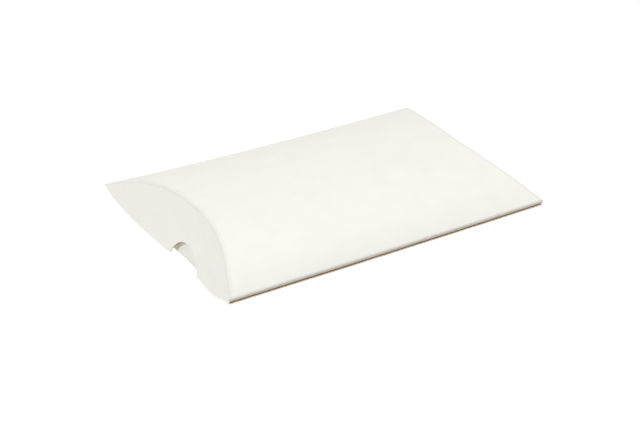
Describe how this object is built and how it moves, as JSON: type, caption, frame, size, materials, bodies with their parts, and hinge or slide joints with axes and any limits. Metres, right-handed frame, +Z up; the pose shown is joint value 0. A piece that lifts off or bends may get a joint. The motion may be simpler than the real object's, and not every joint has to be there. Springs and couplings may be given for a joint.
{
  "type": "pillow box",
  "caption": "Closed pillow box of folded card with bowed panels, glued front edge, and curved end flaps with half-round thumb notches that swing open.",
  "frame": {"origin": "under the middle of the closed box, at the height of the crown line of the lower panel, which it lies on", "axes": "+X along the box, from the left end to the right end; +Y from the glued front edge to the plain back fold; +Z up, from the lower panel to the upper panel"},
  "size_m": [0.162, 0.114, 0.03],
  "materials": {
    "card": "matt white coating outside, raw brown card inside and on the cut edges",
    "glue": "dried glue film"
  },
  "bodies": {
    "tube": {"top_panel": "card", "bottom_panel": "card", "back_fold": "card", "front_fold": "card", "glue_flap": "card", "glue_line": "glue"},
    "left_outer": {"left_outer_flap": "card"},
    "right_outer": {"right_outer_flap": "card"},
    "left_inner": {"left_inner_flap": "card"},
    "right_inner": {"right_inner_flap": "card"}
  },
  "joints": [
    {"name": "left_outer_crease", "type": "hinge", "parent": "tube", "child": "left_outer", "pos_m": [-0.0664, 0, 0.03], "axis": [0, 1, 0], "range_deg": [0, 120]},
    {"name": "left_inner_crease", "type": "hinge", "parent": "tube", "child": "left_inner", "pos_m": [-0.0656, 0, 0], "axis": [0, -1, 0], "range_deg": [0, 72]},
    {"name": "right_outer_crease", "type": "hinge", "parent": "tube", "child": "right_outer", "pos_m": [0.0664, 0, 0.03], "axis": [0, -1, 0], "range_deg": [0, 120]},
    {"name": "right_inner_crease", "type": "hinge", "parent": "tube", "child": "right_inner", "pos_m": [0.0656, 0, 0], "axis": [0, 1, 0], "range_deg": [0, 72]}
  ],
  "couplings": [
    {"joint": "left_inner_crease", "follows": "left_outer_crease", "ratio": 0.6},
    {"joint": "right_inner_crease", "follows": "right_outer_crease", "ratio": 0.6}
  ]
}
